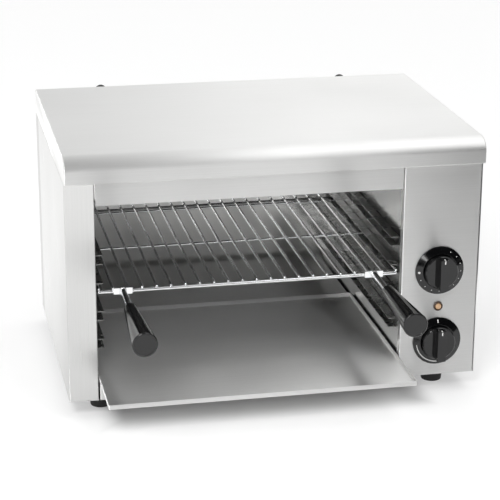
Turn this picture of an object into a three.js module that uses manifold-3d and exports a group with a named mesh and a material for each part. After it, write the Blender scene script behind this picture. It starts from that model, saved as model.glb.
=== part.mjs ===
// Countertop salamander grill: a stainless cabinet that is open at the front, with a wire rack on
// folded guides, a drip tray, infrared tubes under the roof and a control column on the right.
import * as THREE from "three";
import { mergeVertices } from "three/addons/utils/BufferGeometryUtils.js";
import Module from "manifold-3d";

const wasm = await Module();
wasm.setup();

// Millimetres. x runs right from the cabinet's left side, y runs back from its front face and
// z runs up from its bottom edge. The last lines put the origin on the floor under the middle.

// Sizes of the cabinet as a whole
const cabinetWidth = 600;
const cabinetDepth = 400;
const cabinetHeight = 360; // without the feet
const sheet = 1.2; // stainless sheet
const seatGap = 0.3; // between two pieces that touch
const overrun = 4; // a cutter passes the surface that it cuts by this much
const grid = 0.001; // solids are joined and cut on this grid

// Sizes of the top cover
const coverOverhang = 13; // its nose stands in front of the columns
const coverSkirt = 36; // height of its turned-down edges
const noseLength = 29; // the nose is a quarter ellipse, this long
const noseDrop = 18; // and this high
const noseSteps = 12;

// Sizes of the front
const postWidth = 42;
const fasciaWidth = 115.6;
const edgeReturn = 12; // flanges turned back into the cabinet
const frontRise = 18; // front sheets reach up behind the cover's lip
const panelGap = 1.8; // shadow gap beside the header and the sill
const headerHeight = 35; // what shows of the header below the lip
const headerReturn = 25;
const sillHeight = 27;

// Sizes of the side, back and base panels
const rearFlange = 16;
const rearWrap = 37; // the back panel's sides wrap this far round the cabinet
const tongueHeight = 24; // joggled edge behind the cover's skirt
const tongueInset = 20;
const baseFlange = 12;
const ventWidth = 34;
const ventHeight = 3;
const ventPitch = 10.5;
const ventRows = 6;
const ventColumns = 2;
const ventBottom = 104; // height of the lowest slot
const ventFirstX = 68;
const ventSpacing = 46;
const backScrewInset = 8; // from the cabinet's sides
const backScrewEndInset = 30; // from the back panel's top and bottom edges

// Sizes of the cooking space
const rearAirGap = 21; // from its back wall to the cabinet's back
const insulationThickness = 24;
const linerFoot = 12;

// Sizes of the rack guides
const guideCount = 4; // on each side
const guideBottomLevel = 79; // middle height of the lowest guide
const guideSpacing = 41.8;
const guideHeight = 14.4;
const guideReach = 13.2;
const guideFront = 18.6;
const rackGuideIndex = 2; // the guide that the rack is in, counted up from 0

// Sizes of the wire rack
const rodCount = 22;
const rodRadius = 2;
const barRadius = 2;
const frontBarRadius = 3;
const weldDepth = 0.3; // a rod sinks this far into the bar that it is welded to
const sideRodInset = 6.2; // from the liner to the outermost rod
const rodFront = 12;
const frontBarInset = 3.2; // from the rods' front ends to the front bar
const rearBarInset = 4;
const rackBackGap = 4;
const rodSides = 8;
const middleBarShare = 0.512; // of the rods' length

// Sizes of the rack's handles
const handleInset = 34; // from the outermost rod
const plateWidth = 27;
const plateThickness = 2.5;
const stemRadius = 4.6;
const stemReach = 62; // the grip starts this far in front of the cabinet
const stemEmbed = 45; // and the stem goes this far into it
const gripLength = 136;
const gripNeckRadius = 9;
const gripEndRadius = 17.2;
const gripRound = 2;
const gripSegments = 24;

// Sizes of the drip tray
const trayDepth = 369;
const trayOut = 98.4; // how far it is pulled out
const traySideGap = 1.5;
const trayWall = 7.2;

// Sizes of the heating tubes
const tubeCount = 4;
const tubeRadius = 5.5;
const tubeCapRadius = 7;
const tubeCapLength = 30;
const tubeOverhang = 16; // past the liner at each end
const tubeDrop = 20; // below the roof reflector
const tubeFirstShare = 0.2; // of the cooking space's depth
const tubeLastShare = 0.8;
const tubeSegments = 14;

// Sizes of the controls
const regulatorHeight = 163;
const timerHeight = 53.4;
const lampHeight = 107.4;
const shaftRadius = 3;
const shaftSegments = 16;
const controlInset = 59; // from the cabinet's right side
const dialRadius = 36.3;
const dialRim = 1.5;
const dialFaceRadius = 26.5;
const dialThickness = 5;
const dialBore = 6;
const dialSegments = 40;
const knobRadius = 24.7;
const knobBase = 9;
const knobHeight = 22; // from the dial's face to the top of the finger bar
const knobBarWidth = 12.7;
const knobBarInset = 1;
const knobBoreDepth = 7;
const controlEmbed = 6; // the shaft's length inside its switch body
const regulatorBodyWidth = 42;
const regulatorBodyHeight = 46;
const regulatorBodyDepth = 34;
const timerBodyWidth = 50;
const timerBodyHeight = 48;
const timerBodyDepth = 40;
const lampHoleRadius = 5;
const lampBezelRadius = 7;
const lampBezelHeight = 2;
const lampTail = 26;
const lensRadius = 4.4;
const lensDepth = 1.4;
const lensDome = 2;
const lampSegments = 20;

// Sizes of the feet and rear bumpers
const footHeight = 26;
const footTopRadius = 17;
const footBottomRadius = 15;
const footInset = 50; // from the cabinet's sides
const footFrontInset = 47;
const footRecessRadius = 7;
const footRecessDepth = 9;
const footSegments = 24;
const screwRadius = 2;
const screwHeadRadius = 4.5;
const screwHeadHeight = 2.4;
const screwReach = 5; // past the sheet that it holds
const screwSegments = 12;
const bumperRadius = 9.5;
const bumperLength = 20;
const bumperInset = 105; // from the cabinet's sides
const bumperDrop = 11; // from the cover's top to the bumper's middle
const bumperRound = 2;
const bumperSegments = 20;

// Sizes of the wiring parts
const terminalWidth = 56;
const terminalDepth = 24;
const terminalHeight = 22;
const terminalBackGap = 30;
const glandInset = 40; // from the cabinet's right side
const glandHeight = 42;
const glandRadius = 8;
const glandFlangeRadius = 12;
const glandFlange = 3;
const glandNose = 9;
const glandTail = 10;
const glandBore = 4.5;
const glandSegments = 20;
const loomRadius = 4;
const loomSides = 8;
const loomSteps = 30;
const loomBow = 22; // how far the loom swings back between its ends

// Places that follow from the sizes
const skirtBottom = cabinetHeight - coverSkirt;
const panelTop = skirtBottom - seatGap;
const frontTop = skirtBottom + frontRise;
const aboveBase = sheet + seatGap;
const fasciaLeft = cabinetWidth - fasciaWidth;
const controlX = cabinetWidth - controlInset;
const innerLeft = sheet + seatGap;
const innerRight = cabinetWidth - sheet - seatGap;
const panelBack = cabinetDepth - sheet - seatGap; // rear faces of the side panels' flanges
const tongueInner = 2 * sheet + seatGap; // inner face of a side panel's joggled edges
const wrapFront = cabinetDepth - rearWrap;
const backScrewHigh = panelTop - backScrewEndInset;
const glandX = cabinetWidth - glandInset;
const linerLeft = postWidth - sheet - seatGap; // the left liner's inner face
const linerRight = fasciaLeft + sheet + seatGap; // the right liner's inner face
const cavityBack = cabinetDepth - rearAirGap;
const cavityMiddle = (linerLeft + linerRight) / 2;
const roofTop = cabinetHeight - sheet - seatGap - insulationThickness - seatGap;
const linerTop = roofTop - sheet - seatGap;
const sillLeft = postWidth + panelGap;
const sillRight = fasciaLeft - panelGap;
const rackHeight = guideBottomLevel + guideSpacing * rackGuideIndex;
const rodPitch = (linerRight - linerLeft - 2 * sideRodInset) / (rodCount - 1);
const rodBack = cavityBack - rackBackGap;
const tubeHeight = roofTop - sheet - tubeDrop;
const handleReach = stemReach + gripLength;
const rearReach = cabinetDepth + bumperLength;

// Materials
const material = (color, roughness, metalness) =>
  new THREE.MeshStandardMaterial({ color, roughness, metalness });
const brushedSteel = material("#c9cbcc", 0.38, 1);
const linerSteel = material("#a9abad", 0.3, 1);
const chromeWire = material("#d6d8da", 0.15, 1);
const blackPlastic = material("#171718", 0.35, 0);
const blackRubber = material("#1c1c1d", 0.8, 0);
const amberGlass = material("#d79a5e", 0.2, 0);
const quartzGlass = material("#e9e3d8", 0.25, 0);
const ceramicFibre = material("#e8e6df", 0.95, 0);
const switchPlastic = material("#d9d4c6", 0.5, 0);
const wireSleeve = material("#b7a98c", 0.7, 0);

// A closed geometry as a manifold solid. Its points are rounded to the grid, so that two solids
// that meet share them exactly.
function solid(geometry) {
  const flat = geometry.index ? geometry.toNonIndexed() : geometry;
  const points = flat.getAttribute("position").array.map((value) => Math.round(value / grid) * grid);
  const bare = new THREE.BufferGeometry();
  bare.setAttribute("position", new THREE.BufferAttribute(points, 3));
  const merged = mergeVertices(bare);
  return new wasm.Manifold(
    new wasm.Mesh({
      numProp: 3,
      vertProperties: merged.attributes.position.array,
      triVerts: new Uint32Array(merged.index.array),
    }),
  );
}

// A manifold solid as a flat-shaded geometry.
function geometryOf(body) {
  const made = body.getMesh();
  const geometry = new THREE.BufferGeometry();
  geometry.setAttribute("position", new THREE.BufferAttribute(new Float32Array(made.vertProperties), 3));
  geometry.setIndex(new THREE.BufferAttribute(new Uint32Array(made.triVerts), 1));
  const shaded = geometry.toNonIndexed();
  shaded.computeVertexNormals();
  return shaded;
}

// A box from its low corner to its high corner.
function box(x0, x1, y0, y1, z0, z1) {
  const geometry = new THREE.BoxGeometry(x1 - x0, y1 - y0, z1 - z0);
  geometry.translate((x0 + x1) / 2, (y0 + y1) / 2, (z0 + z1) / 2);
  return solid(geometry);
}

function join(bodies) {
  return bodies.reduce((sum, body) => sum.add(body));
}

function cut(body, tools) {
  return tools.reduce((rest, tool) => rest.subtract(tool), body);
}

const unitX = new THREE.Vector3(1, 0, 0);
const unitY = new THREE.Vector3(0, 1, 0);
const unitZ = new THREE.Vector3(0, 0, 1);

// A section's two directions, and the direction in which it is drawn out.
const drawBases = {
  x: [unitY, unitZ, unitX], // for a section of [y, z] points
  y: [unitZ, unitX, unitY], // of [z, x] points
  z: [unitX, unitY, unitZ], // of [x, y] points
};

// A shape drawn out along an axis from start to end, as a folded sheet is along its bends.
function drawnShape(shape, axis, start, end) {
  const geometry = new THREE.ExtrudeGeometry(shape, {
    depth: end - start,
    bevelEnabled: false,
    curveSegments: noseSteps,
  });
  geometry.translate(0, 0, start);
  return geometry.applyMatrix4(new THREE.Matrix4().makeBasis(...drawBases[axis]));
}

// The same for a section with straight sides, from its corners.
function drawn(corners, axis, start, end) {
  const shape = new THREE.Shape(corners.map(([a, b]) => new THREE.Vector2(a, b)));
  return drawnShape(shape, axis, start, end);
}

// A turned shape from its profile of [radius, height] points, with its axis along z.
function turned(profile, segments) {
  const points = profile.map(([radius, height]) => new THREE.Vector2(radius, height));
  const geometry = new THREE.LatheGeometry(points, segments);
  geometry.applyMatrix4(new THREE.Matrix4().makeRotationX(Math.PI / 2));
  return geometry;
}

// The same, with its axis turned to point forward, along -y.
function turnedForward(profile, segments) {
  return turned(profile, segments).applyMatrix4(new THREE.Matrix4().makeRotationX(Math.PI / 2));
}

// The same, with its axis turned to point back, along +y.
function turnedBack(profile, segments) {
  return turned(profile, segments).applyMatrix4(new THREE.Matrix4().makeRotationX(-Math.PI / 2));
}

// A cylinder along x or y, from start to end, at the two other coordinates.
function rodAlongX(radius, start, end, y, z, sides) {
  const geometry = new THREE.CylinderGeometry(radius, radius, end - start, sides);
  geometry.applyMatrix4(new THREE.Matrix4().makeRotationZ(Math.PI / 2));
  geometry.translate((start + end) / 2, y, z);
  return solid(geometry);
}

function rodAlongY(radius, start, end, x, z, sides) {
  const geometry = new THREE.CylinderGeometry(radius, radius, end - start, sides);
  geometry.translate(x, (start + end) / 2, z);
  return solid(geometry);
}

function rodAlongZ(radius, start, end, x, y, sides) {
  const geometry = new THREE.CylinderGeometry(radius, radius, end - start, sides);
  geometry.applyMatrix4(new THREE.Matrix4().makeRotationX(Math.PI / 2));
  geometry.translate(x, y, (start + end) / 2);
  return solid(geometry);
}

// Adds a named mesh to a group, at x, y and z.
function place(group, name, geometry, look, x = 0, y = 0, z = 0) {
  const mesh = new THREE.Mesh(geometry, look);
  mesh.name = name;
  mesh.position.set(x, y, z);
  group.add(mesh);
}

const grill = new THREE.Group();
const cabinet = new THREE.Group();
const rack = new THREE.Group();
const tray = new THREE.Group();
grill.add(cabinet, rack, tray);

// Top cover

// The nose's curve and the cover's front edge, in y and z, set in from the outside by a wall.
function drawNose(shape, wall, low) {
  const middle = noseLength - coverOverhang;
  const length = noseLength - wall;
  const drop = noseDrop - wall;
  shape.lineTo(middle, cabinetHeight - wall);
  shape.absellipse(middle, cabinetHeight - noseDrop, length, drop, Math.PI / 2, Math.PI, false);
  shape.lineTo(wall - coverOverhang, low);
}

// A lid with turned-down edges, whose front edge also turns in along its bottom.
function topCover() {
  const outline = new THREE.Shape();
  outline.moveTo(cabinetDepth, skirtBottom);
  outline.lineTo(cabinetDepth, cabinetHeight);
  drawNose(outline, 0, skirtBottom);
  const hollow = new THREE.Shape();
  hollow.moveTo(-seatGap, skirtBottom - overrun);
  hollow.lineTo(cabinetDepth - sheet, skirtBottom - overrun);
  hollow.lineTo(cabinetDepth - sheet, cabinetHeight - sheet);
  drawNose(hollow, sheet, skirtBottom + sheet);
  hollow.lineTo(-seatGap, skirtBottom + sheet);
  const outside = solid(drawnShape(outline, "x", 0, cabinetWidth));
  const inside = solid(drawnShape(hollow, "x", sheet, cabinetWidth - sheet));
  return geometryOf(cut(outside, [inside]));
}
place(cabinet, "top_cover", topCover(), brushedSteel);

// Side panels

const sideRear = wrapFront - seatGap; // where a side's outer sheet ends

// A side sheet's plan from its outer front corner round to its inner face. Its rear edge is joggled
// to reach behind the back panel's wrap, where it turns in as a flange for the back's screws.
const sidePlan = [
  [0, 0],
  [0, sideRear],
  [innerLeft, sideRear],
  [innerLeft, panelBack],
  [rearFlange, panelBack],
  [rearFlange, panelBack - sheet],
  [tongueInner, panelBack - sheet],
  [tongueInner, sideRear - sheet],
  [sheet, sideRear - sheet],
];

// The joggled edge that reaches up behind the cover's skirt. `across` places it on its side.
function topTongue(across) {
  const foot = panelTop - 2 * sheet;
  const section = [
    [foot, sheet / 2],
    [foot, tongueInner],
    [panelTop + tongueHeight, tongueInner],
    [panelTop + tongueHeight, innerLeft],
    [panelTop - sheet, innerLeft],
    [panelTop - sheet, sheet / 2],
  ];
  const placed = section.map(([z, x]) => [z, across(x)]);
  return solid(drawn(placed, "y", tongueInset, sideRear - 2 * sheet));
}

function backScrewHoles() {
  const front = panelBack - sheet - overrun;
  const rear = cabinetDepth + overrun;
  const holes = [];
  for (const x of [backScrewInset, cabinetWidth - backScrewInset])
    for (const z of [backScrewEndInset, backScrewHigh])
      holes.push(rodAlongY(screwRadius + seatGap, front, rear, x, z, screwSegments));
  return holes;
}

// The left side's sheet also turns round the front as the left post, which reaches up behind the
// cover's lip.
function leftSidePanel() {
  const plan = [
    ...sidePlan,
    [sheet, sheet],
    [postWidth - sheet, sheet],
    [postWidth - sheet, edgeReturn],
    [postWidth, edgeReturn],
    [postWidth, 0],
  ];
  const above = frontTop + overrun;
  const behind = panelBack + overrun;
  const cuts = [
    box(-overrun, innerLeft, -overrun, behind, panelTop, above),
    box(-overrun, rearFlange + overrun, edgeReturn, behind, panelTop, above),
    box(sheet + overrun, postWidth + overrun, sheet, edgeReturn + overrun, -overrun, aboveBase),
    ...backScrewHoles(),
  ];
  const folded = cut(solid(drawn(plan, "z", 0, frontTop)), cuts);
  return geometryOf(join([folded, topTongue((x) => x)]));
}
place(cabinet, "left_side_panel", leftSidePanel(), brushedSteel);

function rightSidePanel() {
  const across = (x) => cabinetWidth - x;
  const plan = [...sidePlan, [sheet, 0]].map(([x, y]) => [across(x), y]);
  const folded = cut(solid(drawn(plan, "z", 0, panelTop)), backScrewHoles());
  return geometryOf(join([folded, topTongue(across)]));
}
place(cabinet, "right_side_panel", rightSidePanel(), brushedSteel);

// Control fascia

function controlFascia() {
  const plan = [
    [fasciaLeft, 0],
    [innerRight, 0],
    [innerRight, edgeReturn],
    [innerRight - sheet, edgeReturn],
    [innerRight - sheet, sheet],
    [fasciaLeft + sheet, sheet],
    [fasciaLeft + sheet, edgeReturn],
    [fasciaLeft, edgeReturn],
  ];
  const hole = (radius, z, segments) =>
    rodAlongY(radius + seatGap, -overrun, sheet + overrun, controlX, z, segments);
  const underReturns = box(
    fasciaLeft - overrun,
    cabinetWidth,
    sheet,
    edgeReturn + overrun,
    -overrun,
    aboveBase + baseFlange,
  );
  return geometryOf(
    cut(solid(drawn(plan, "z", 0, frontTop)), [
      underReturns,
      hole(shaftRadius, regulatorHeight, shaftSegments),
      hole(shaftRadius, timerHeight, shaftSegments),
      hole(lampHoleRadius, lampHeight, lampSegments),
    ]),
  );
}
place(cabinet, "control_fascia", controlFascia(), brushedSteel);

// Header over the opening

function headerPanel() {
  const low = skirtBottom - headerHeight;
  const section = [
    [0, low],
    [headerReturn, low],
    [headerReturn, low + sheet],
    [sheet, low + sheet],
    [sheet, frontTop],
    [0, frontTop],
  ];
  return drawn(section, "x", sillLeft, sillRight);
}
place(cabinet, "header_panel", headerPanel(), brushedSteel);

// Floor of the cooking space, whose turned-down front edge is the sill

function cavityFloor() {
  const rear = cavityBack - seatGap;
  const section = [
    [0, 0],
    [sheet, 0],
    [sheet, sillHeight - sheet],
    [rear - sheet, sillHeight - sheet],
    [rear - sheet, aboveBase],
    [rear, aboveBase],
    [rear, sillHeight],
    [0, sillHeight],
  ];
  return drawn(section, "x", sillLeft, sillRight);
}
place(cabinet, "cavity_floor", cavityFloor(), linerSteel);

// Base pan

const footPlaces = [
  ["front_left", footInset, footFrontInset],
  ["front_right", cabinetWidth - footInset, footFrontInset],
  ["rear_left", footInset, cabinetDepth - footFrontInset],
  ["rear_right", cabinetWidth - footInset, cabinetDepth - footFrontInset],
];

function basePan() {
  const left = tongueInner + seatGap;
  const right = cabinetWidth - left;
  const front = sheet + seatGap;
  const rear = panelBack - sheet - seatGap;
  const hollow = box(
    left + sheet,
    right - sheet,
    front - overrun,
    rear - sheet,
    sheet,
    baseFlange + overrun,
  );
  const holes = footPlaces.map(([, x, y]) =>
    rodAlongZ(screwRadius + seatGap, -overrun, sheet + overrun, x, y, screwSegments),
  );
  return geometryOf(cut(box(left, right, front, rear, 0, baseFlange), [hollow, ...holes]));
}
place(cabinet, "base_pan", basePan(), linerSteel);

// Back panel, a shallow pan round the cabinet's rear, with vent slots behind the control column

function ventSlots() {
  const front = cabinetDepth - sheet - overrun;
  const rear = cabinetDepth + overrun;
  const half = ventWidth / 2;
  const slots = [];
  for (let column = 0; column < ventColumns; column += 1)
    for (let row = 0; row < ventRows; row += 1) {
      const x = cabinetWidth - ventFirstX - column * ventSpacing;
      const z = ventBottom + row * ventPitch;
      slots.push(box(x - half, x + half, front, rear, z, z + ventHeight));
    }
  return slots;
}

function backPanel() {
  const plan = [
    [0, wrapFront],
    [sheet, wrapFront],
    [sheet, cabinetDepth - sheet],
    [cabinetWidth - sheet, cabinetDepth - sheet],
    [cabinetWidth - sheet, wrapFront],
    [cabinetWidth, wrapFront],
    [cabinetWidth, cabinetDepth],
    [0, cabinetDepth],
  ];
  const glandHole = rodAlongY(
    glandRadius + seatGap,
    cabinetDepth - sheet - overrun,
    cabinetDepth + overrun,
    glandX,
    glandHeight,
    glandSegments,
  );
  const panel = solid(drawn(plan, "z", 0, panelTop));
  return geometryOf(cut(panel, [...ventSlots(), glandHole, ...backScrewHoles()]));
}
place(cabinet, "back_panel", backPanel(), brushedSteel);

// Liners and roof of the cooking space

const tubePlaces = Array.from({ length: tubeCount }, (_, i) => {
  const share = tubeFirstShare + ((tubeLastShare - tubeFirstShare) * i) / (tubeCount - 1);
  return share * cavityBack;
});

// The left side's liner, with its foot turned out. `across` places it on its side.
function sideLiner(across) {
  const outer = linerLeft - sheet;
  const section = [
    [aboveBase, linerLeft],
    [linerTop, linerLeft],
    [linerTop, outer],
    [aboveBase + sheet, outer],
    [aboveBase + sheet, outer - linerFoot],
    [aboveBase, outer - linerFoot],
  ];
  const placed = section.map(([z, x]) => [z, across(x)]);
  const [start, end] = [across(outer - overrun), across(linerLeft + overrun)].sort((a, b) => a - b);
  const holes = tubePlaces.map((y) =>
    rodAlongX(tubeCapRadius + seatGap, start, end, y, tubeHeight, tubeSegments),
  );
  return geometryOf(cut(solid(drawn(placed, "y", sheet + seatGap, cavityBack + sheet)), holes));
}
place(cabinet, "left_liner", sideLiner((x) => x), linerSteel);
place(cabinet, "right_liner", sideLiner((x) => 2 * cavityMiddle - x), linerSteel);

function backLiner() {
  return geometryOf(
    box(
      linerLeft + seatGap,
      linerRight - seatGap,
      cavityBack,
      cavityBack + sheet,
      aboveBase,
      linerTop,
    ),
  );
}
place(cabinet, "back_liner", backLiner(), linerSteel);

// A slab over both side liners, from `front` to their rear edges.
function roofSlab(front, z0, z1) {
  return geometryOf(box(linerLeft - sheet, linerRight + sheet, front, cavityBack + sheet, z0, z1));
}
place(
  cabinet,
  "roof_reflector",
  roofSlab(edgeReturn + seatGap, roofTop - sheet, roofTop),
  linerSteel,
);
place(
  cabinet,
  "insulation_blanket",
  roofSlab(noseLength - coverOverhang, roofTop + seatGap, roofTop + seatGap + insulationThickness),
  ceramicFibre,
);

// Rack guides, folded channels that are open towards the cooking space

// A guide channel whose web stands at x = 0 and whose flanges reach in, with `inward` 1 or -1.
function guideChannel(inward) {
  const half = guideHeight / 2;
  const section = [
    [-half, 0],
    [half, 0],
    [half, guideReach],
    [half - sheet, guideReach],
    [half - sheet, sheet],
    [sheet - half, sheet],
    [sheet - half, guideReach],
    [-half, guideReach],
  ];
  const placed = section.map(([z, x]) => [z, x * inward]);
  return drawn(placed, "y", guideFront, cavityBack - seatGap);
}

for (let index = 0; index < guideCount; index += 1) {
  const z = guideBottomLevel + guideSpacing * index;
  const left = linerLeft + seatGap;
  const right = linerRight - seatGap;
  place(cabinet, `left_guide_${index + 1}`, guideChannel(1), linerSteel, left, 0, z);
  place(cabinet, `right_guide_${index + 1}`, guideChannel(-1), linerSteel, right, 0, z);
}

// Heating tubes, each with a ceramic cap at both ends

function heatingTube() {
  const half = (linerRight - linerLeft) / 2 + tubeOverhang;
  const shoulder = half - tubeCapLength;
  const profile = [
    [0, -half],
    [tubeCapRadius, -half],
    [tubeCapRadius, -shoulder],
    [tubeRadius, -shoulder],
    [tubeRadius, shoulder],
    [tubeCapRadius, shoulder],
    [tubeCapRadius, half],
    [0, half],
  ];
  return turned(profile, tubeSegments).applyMatrix4(new THREE.Matrix4().makeRotationY(Math.PI / 2));
}
tubePlaces.forEach((y, i) =>
  place(cabinet, `heating_tube_${i + 1}`, heatingTube(), quartzGlass, cavityMiddle, y, tubeHeight),
);

// Wire rack: rods that run back, welded on three cross bars

rack.position.set(cavityMiddle, 0, rackHeight);
const rodSpan = (rodPitch * (rodCount - 1)) / 2;
const rodX = (i) => i * rodPitch - rodSpan;

function rackGrid() {
  const barEnd = rodSpan + rodRadius;
  const crossBar = (radius, y) =>
    rodAlongX(radius, -barEnd, barEnd, y, weldDepth - rodRadius - radius, rodSides);
  const rods = Array.from({ length: rodCount }, (_, i) =>
    rodAlongY(rodRadius, rodFront, rodBack, rodX(i), 0, rodSides),
  );
  return geometryOf(
    join([
      ...rods,
      crossBar(frontBarRadius, rodFront + frontBarInset),
      crossBar(barRadius, rodFront + (rodBack - rodFront) * middleBarShare),
      crossBar(barRadius, rodBack - rearBarInset),
    ]),
  );
}
place(rack, "rack_grid", rackGrid(), chromeWire);

// Rack handles: a plate welded across two rods, a stem and a tapered grip

const plateTop = rodRadius;
const plateBottom = weldDepth - rodRadius - 2 * frontBarRadius;
const plateMiddle = (plateTop + plateBottom) / 2;
const plateBack = rodFront - seatGap;

function handleStem() {
  const half = plateWidth / 2;
  return geometryOf(
    join([
      box(-half, half, plateBack - plateThickness, plateBack, plateBottom, plateTop),
      rodAlongY(stemRadius, -stemReach - stemEmbed, plateBack - weldDepth, 0, plateMiddle, shaftSegments),
    ]),
  );
}

function handleGrip() {
  const bore = stemRadius + seatGap;
  const profile = [
    [0, stemEmbed + seatGap],
    [bore, stemEmbed + seatGap],
    [bore, 0],
    [gripNeckRadius - gripRound, 0],
    [gripNeckRadius, gripRound],
    [gripEndRadius, gripLength - gripRound],
    [gripEndRadius - gripRound, gripLength],
    [0, gripLength],
  ];
  return turnedForward(profile, gripSegments);
}

for (const [side, sign] of [
  ["left", -1],
  ["right", 1],
]) {
  const x = sign * (rodSpan - handleInset);
  place(rack, `handle_stem_${side}`, handleStem(), chromeWire, x);
  place(rack, `handle_grip_${side}`, handleGrip(), blackPlastic, x, -stemReach, plateMiddle);
}

// Drip tray

tray.position.set(0, -trayOut, sillHeight + seatGap);

function dripTray() {
  const x0 = postWidth + traySideGap;
  const x1 = fasciaLeft - traySideGap;
  const inside = box(x0 + sheet, x1 - sheet, sheet, trayDepth - sheet, sheet, trayWall + overrun);
  return geometryOf(cut(box(x0, x1, 0, trayDepth, 0, trayWall), [inside]));
}
place(tray, "drip_tray", dripTray(), brushedSteel);

// Dials, knobs, shafts and switch bodies

function dialPlate() {
  const profile = [
    [dialBore, 0],
    [dialRadius, 0],
    [dialRadius, dialRim],
    [dialFaceRadius, dialThickness],
    [dialBore, dialThickness],
    [dialBore, 0],
  ];
  return turnedForward(profile, dialSegments);
}

function knob() {
  const base = solid(
    turnedForward(
      [
        [0, 0],
        [knobRadius, 0],
        [knobRadius, knobBase],
        [0, knobBase],
      ],
      dialSegments,
    ),
  );
  const half = knobBarWidth / 2;
  const reach = knobRadius - knobBarInset;
  const bar = box(-half, half, -knobHeight, -knobBase / 2, -reach, reach);
  const bore = rodAlongY(shaftRadius + seatGap, -knobBoreDepth, overrun, 0, 0, shaftSegments);
  return geometryOf(cut(join([base, bar]), [bore]));
}

function shaft() {
  const front = -2 * seatGap - dialThickness - knobBoreDepth + seatGap;
  const rear = sheet + seatGap + controlEmbed - seatGap;
  return geometryOf(rodAlongY(shaftRadius, front, rear, 0, 0, shaftSegments));
}

function switchBody(width, height, depth) {
  const front = sheet + seatGap;
  const body = box(-width / 2, width / 2, front, front + depth, -height / 2, height / 2);
  const bore = rodAlongY(
    shaftRadius + seatGap,
    front - overrun,
    front + controlEmbed,
    0,
    0,
    shaftSegments,
  );
  return geometryOf(cut(body, [bore]));
}

const controls = [
  ["regulator", regulatorHeight, regulatorBodyWidth, regulatorBodyHeight, regulatorBodyDepth],
  ["timer", timerHeight, timerBodyWidth, timerBodyHeight, timerBodyDepth],
];
for (const [name, z, width, height, depth] of controls) {
  const control = new THREE.Group();
  control.position.set(controlX, 0, z);
  cabinet.add(control);
  place(control, `${name}_dial`, dialPlate(), blackPlastic, 0, -seatGap);
  place(control, `${name}_knob`, knob(), blackPlastic, 0, -2 * seatGap - dialThickness);
  place(control, `${name}_shaft`, shaft(), chromeWire);
  place(control, `${name}_body`, switchBody(width, height, depth), switchPlastic);
}

// Pilot lamp

function lampBody() {
  const recess = lensRadius + seatGap;
  const profile = [
    [0, -lampTail],
    [lampHoleRadius, -lampTail],
    [lampHoleRadius, seatGap],
    [lampBezelRadius, seatGap],
    [lampBezelRadius, seatGap + lampBezelHeight],
    [recess, seatGap + lampBezelHeight],
    [recess, seatGap + lampBezelHeight - lensDepth],
    [0, seatGap + lampBezelHeight - lensDepth],
  ];
  return turnedForward(profile, lampSegments);
}

function pilotLens() {
  const profile = [
    [0, 0],
    [lensRadius, 0],
    [lensRadius, lensDepth],
    [lensRadius * Math.SQRT1_2, lensDome],
    [0, lensDome + seatGap],
  ];
  return turnedForward(profile, lampSegments);
}

const lamp = new THREE.Group();
lamp.position.set(controlX, 0, lampHeight);
cabinet.add(lamp);
place(lamp, "pilot_lamp_body", lampBody(), blackPlastic);
place(lamp, "pilot_lens", pilotLens(), amberGlass, 0, lensDepth - lampBezelHeight - 2 * seatGap);

// Feet and their screws

function foot() {
  const bore = screwRadius + seatGap;
  const top = footHeight - seatGap;
  const profile = [
    [bore, footRecessDepth],
    [footRecessRadius, footRecessDepth],
    [footRecessRadius, 0],
    [footBottomRadius, 0],
    [footTopRadius, top],
    [bore, top],
    [bore, footRecessDepth],
  ];
  return turned(profile, footSegments);
}

// A pan-head screw whose head sits below z = 0 and whose shank reaches up to `length`.
function screw(length) {
  return [
    [0, -screwHeadHeight],
    [screwHeadRadius, -screwHeadHeight],
    [screwHeadRadius, 0],
    [screwRadius, 0],
    [screwRadius, length],
    [0, length],
  ];
}

for (const [name, x, y] of footPlaces) {
  const headSeat = footRecessDepth - footHeight - seatGap;
  const length = footHeight - footRecessDepth + seatGap + sheet + screwReach;
  place(cabinet, `foot_${name}`, foot(), blackRubber, x, y, -footHeight);
  place(cabinet, `foot_screw_${name}`, turned(screw(length), screwSegments), chromeWire, x, y, headSeat);
}

// Bumpers that keep the back off a wall

function bumper() {
  const profile = [
    [0, 0],
    [bumperRadius, 0],
    [bumperRadius, bumperLength - seatGap - bumperRound],
    [bumperRadius - bumperRound, bumperLength - seatGap],
    [0, bumperLength - seatGap],
  ];
  return turnedBack(profile, bumperSegments);
}
for (const [side, x] of [
  ["left", bumperInset],
  ["right", cabinetWidth - bumperInset],
]) {
  const z = cabinetHeight - bumperDrop;
  place(cabinet, `rear_bumper_${side}`, bumper(), blackRubber, x, cabinetDepth + seatGap, z);
}

// Screws of the back panel

function backScrew() {
  const length = 2 * (sheet + seatGap) + screwReach;
  return turnedForward(screw(length), screwSegments);
}
for (const [side, x] of [
  ["left", backScrewInset],
  ["right", cabinetWidth - backScrewInset],
])
  for (const [end, z] of [
    ["low", backScrewEndInset],
    ["high", backScrewHigh],
  ])
    place(cabinet, `back_screw_${side}_${end}`, backScrew(), chromeWire, x, cabinetDepth + seatGap, z);

// Cable gland in the back panel

function cableGland() {
  const profile = [
    [glandBore, -glandTail - sheet],
    [glandRadius, -glandTail - sheet],
    [glandRadius, seatGap],
    [glandFlangeRadius, seatGap],
    [glandFlangeRadius, seatGap + glandFlange],
    [glandRadius, seatGap + glandFlange + glandNose],
    [glandBore, seatGap + glandFlange + glandNose],
    [glandBore, -glandTail - sheet],
  ];
  return turnedBack(profile, glandSegments);
}
place(cabinet, "cable_gland", cableGland(), blackPlastic, glandX, cabinetDepth, glandHeight);

// Terminal block on the base pan

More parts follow.
